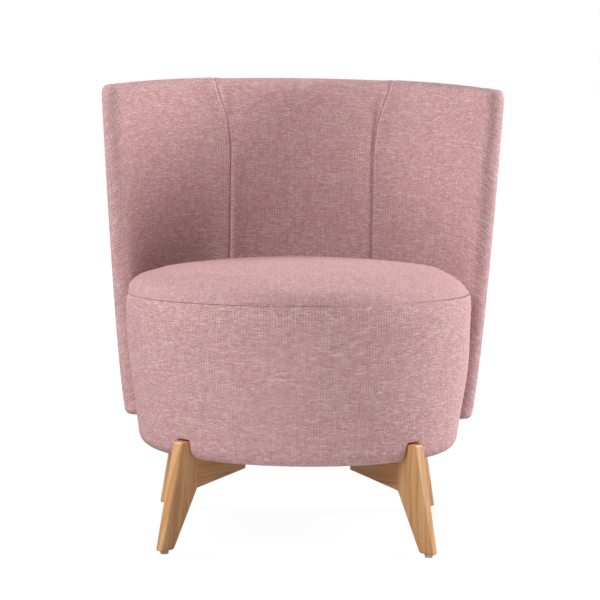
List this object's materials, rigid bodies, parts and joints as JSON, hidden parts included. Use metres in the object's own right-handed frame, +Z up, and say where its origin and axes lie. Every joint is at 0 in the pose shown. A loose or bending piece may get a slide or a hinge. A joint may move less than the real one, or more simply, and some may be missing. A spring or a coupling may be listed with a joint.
{
  "type": "upholstered tub armchair",
  "caption": "Round upholstered tub armchair: a tapered padded drum seat, a wrap-round padded back and radial oak legs.",
  "frame": {"origin": "on the floor, at the centre of the outer box in plan", "axes": "+Z up, the sitter faces -Y, +X to the right of the picture of the front"},
  "size_m": [0.7246, 0.6838, 0.8105],
  "materials": {
    "upholstery": "matte",
    "oak": "satin",
    "beech": "matte",
    "plywood": "matte",
    "foam": "matte",
    "black_cloth": "matte",
    "glide": "satin",
    "steel": "satin"
  },
  "bodies": {
    "root": {"leg_front_left": "oak", "leg_front_right": "oak", "leg_rear_right": "oak", "leg_rear_left": "oak", "arm_front_left": "oak", "arm_front_right": "oak", "arm_rear_right": "oak", "arm_rear_left": "oak", "leg_dowels": "beech", "arm_bolts": "steel", "arm_washers": "steel", "base_tee_nuts": "steel", "foot_glides": "glide", "glide_nails": "steel", "base_panel": "plywood", "frame_hoop": "plywood", "frame_posts": "beech", "upper_ring": "plywood", "webbing_along": "black_cloth", "webbing_across": "black_cloth", "seat_foam": "foam", "drum_side_foam": "foam", "seat_top_cover": "upholstery", "drum_side_cover": "upholstery", "dust_cover": "black_cloth", "dust_cover_staples": "steel", "back_shell": "plywood", "back_foam_centre": "foam", "wing_foam_right": "foam", "wing_foam_left": "foam", "back_outer_foam": "foam", "back_inner_cover_centre": "upholstery", "wing_inner_cover_right": "upholstery", "wing_inner_cover_left": "upholstery", "back_outer_cover": "upholstery", "back_bottom_trim": "black_cloth", "back_spacers": "beech", "back_bolts": "steel", "back_washers": "steel", "back_tee_nuts": "steel"}
  },
  "joints": []
}
